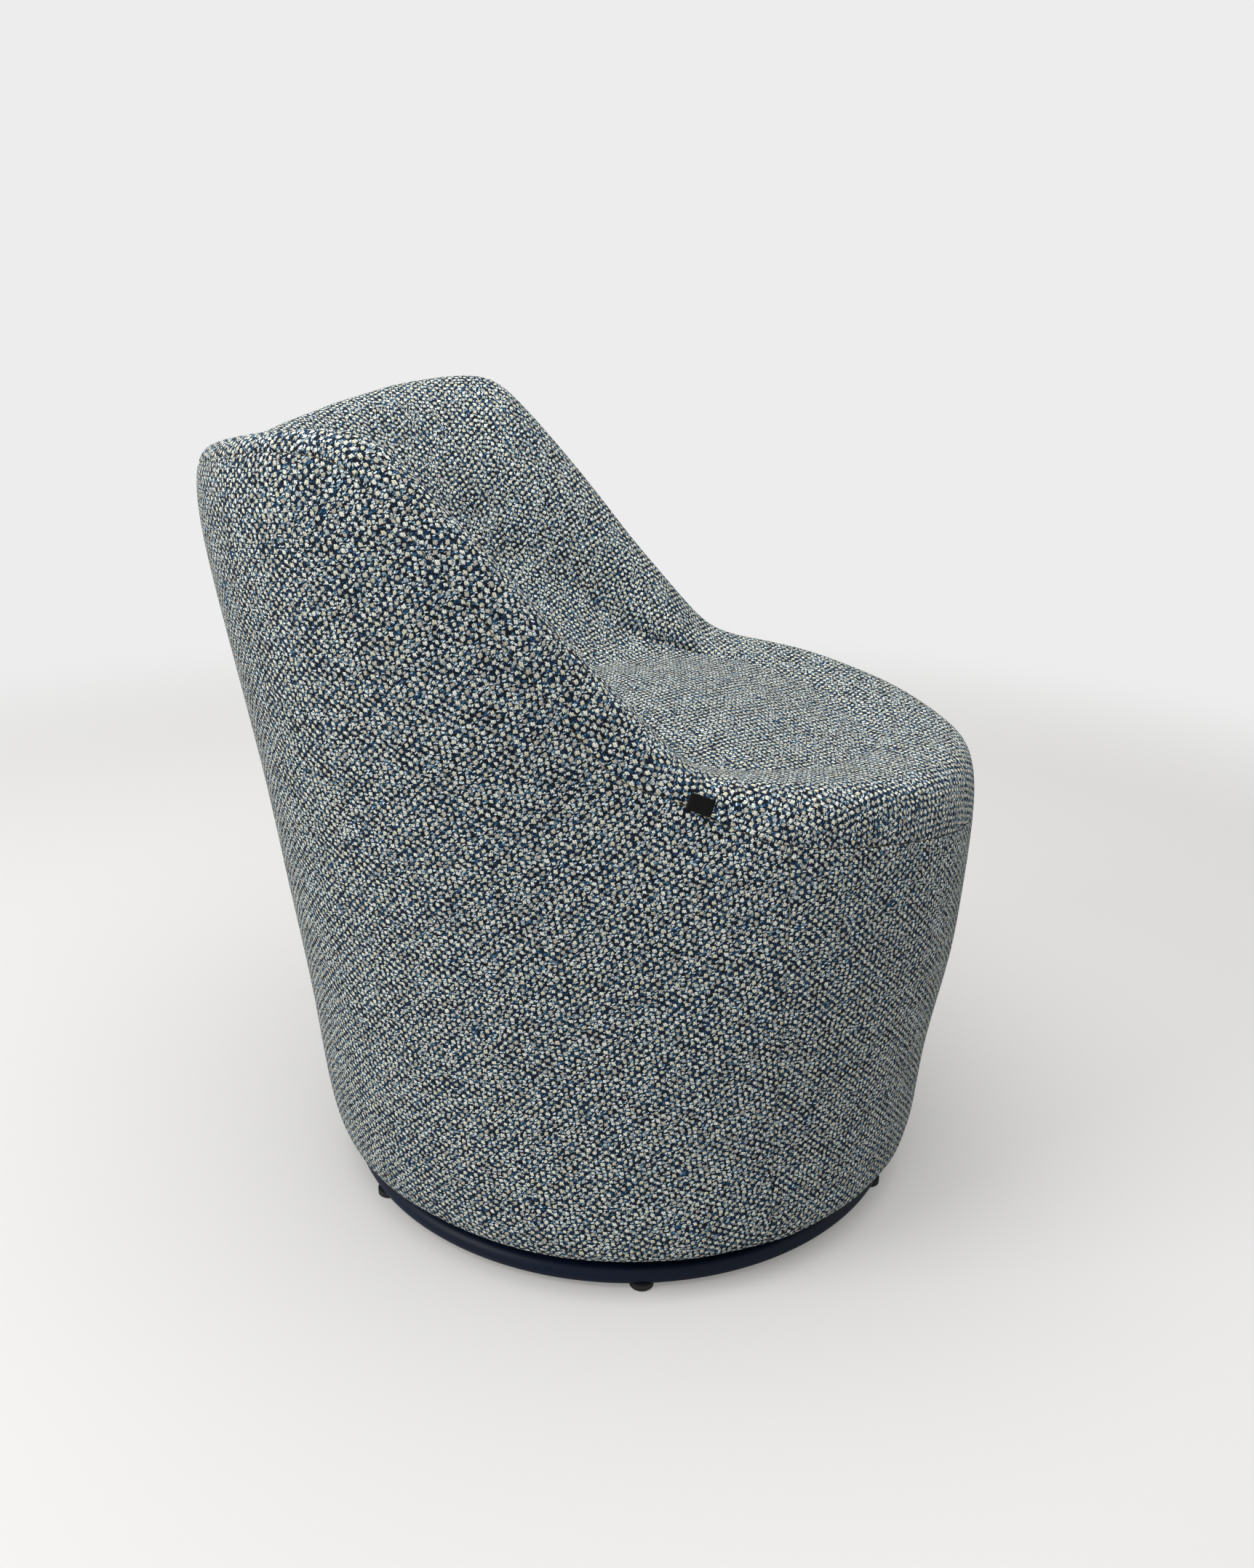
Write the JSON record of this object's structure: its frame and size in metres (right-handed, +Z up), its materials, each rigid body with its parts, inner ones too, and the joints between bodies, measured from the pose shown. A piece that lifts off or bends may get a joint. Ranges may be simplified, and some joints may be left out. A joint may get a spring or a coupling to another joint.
{
  "type": "swivel armchair",
  "caption": "Upholstered tub chair in a blue and cream basket weave that turns on a ball-bearing plate over a dark round tube base.",
  "frame": {"origin": "on the floor under the middle of the bounding box; the swivel axis stands 26 mm in front of it", "axes": "+Z up, the chair faces -Y, +X is the sitter's left"},
  "size_m": [0.6148, 0.7323, 0.7569],
  "materials": {
    "ring_paint": "satin",
    "bar_paint": "satin",
    "zinc_plate": "zinc plated",
    "foot_plastic": "matte",
    "bolt_steel": "zinc plated",
    "ball_steel": "polished",
    "cage_brass": "stamped",
    "plywood": "raw birch plywood",
    "strap_web": "woven elastic",
    "dust_cloth": "spun-bond",
    "foam": "cut foam",
    "weave": "coarse basket weave",
    "tag_cloth": "plain woven tape"
  },
  "bodies": {
    "base": {"base_ring": "ring_paint", "cross_bar_long": "bar_paint", "cross_bar_left": "bar_paint", "cross_bar_right": "bar_paint", "hub_plate": "zinc_plate", "foot_1": "foot_plastic", "foot_2": "foot_plastic", "foot_3": "foot_plastic", "foot_4": "foot_plastic", "foot_5": "foot_plastic", "foot_6": "foot_plastic", "race_lower": "zinc_plate", "bolts_lower": "bolt_steel", "nuts_lower": "bolt_steel", "pivot_stud": "bolt_steel", "pivot_washer": "bolt_steel", "pivot_nut": "bolt_steel"},
    "ball_ring": {"balls": "ball_steel", "ball_cage": "cage_brass"},
    "seat": {"race_upper": "zinc_plate", "bolts_upper": "bolt_steel", "tee_nuts": "bolt_steel", "base_board": "plywood", "former_front": "plywood", "former_front_left": "plywood", "former_front_right": "plywood", "former_side_left": "plywood", "former_side_right": "plywood", "former_back_left": "plywood", "former_back_right": "plywood", "former_back": "plywood", "front_rail": "plywood", "back_rail_low": "plywood", "back_rail_high": "plywood", "seat_rim": "plywood", "straps_across": "strap_web", "straps_along": "strap_web", "dust_cover": "dust_cloth", "foam_front": "foam", "foam_left": "foam", "foam_right": "foam", "foam_back": "foam", "foam_seat": "foam", "cover_front": "weave", "cover_wrap": "weave", "cover_top": "weave", "side_tag": "tag_cloth"}
  },
  "joints": [
    {"name": "swivel", "type": "hinge", "parent": "base", "child": "seat", "pos_m": [0, -0.02654, 0.0405], "axis": [0, 0, 1], "continuous": true},
    {"name": "ball_roll", "type": "hinge", "parent": "base", "child": "ball_ring", "pos_m": [0, -0.02654, 0.033], "axis": [0, 0, 1], "continuous": true}
  ],
  "couplings": [
    {"joint": "ball_roll", "follows": "swivel", "ratio": 0.5}
  ]
}
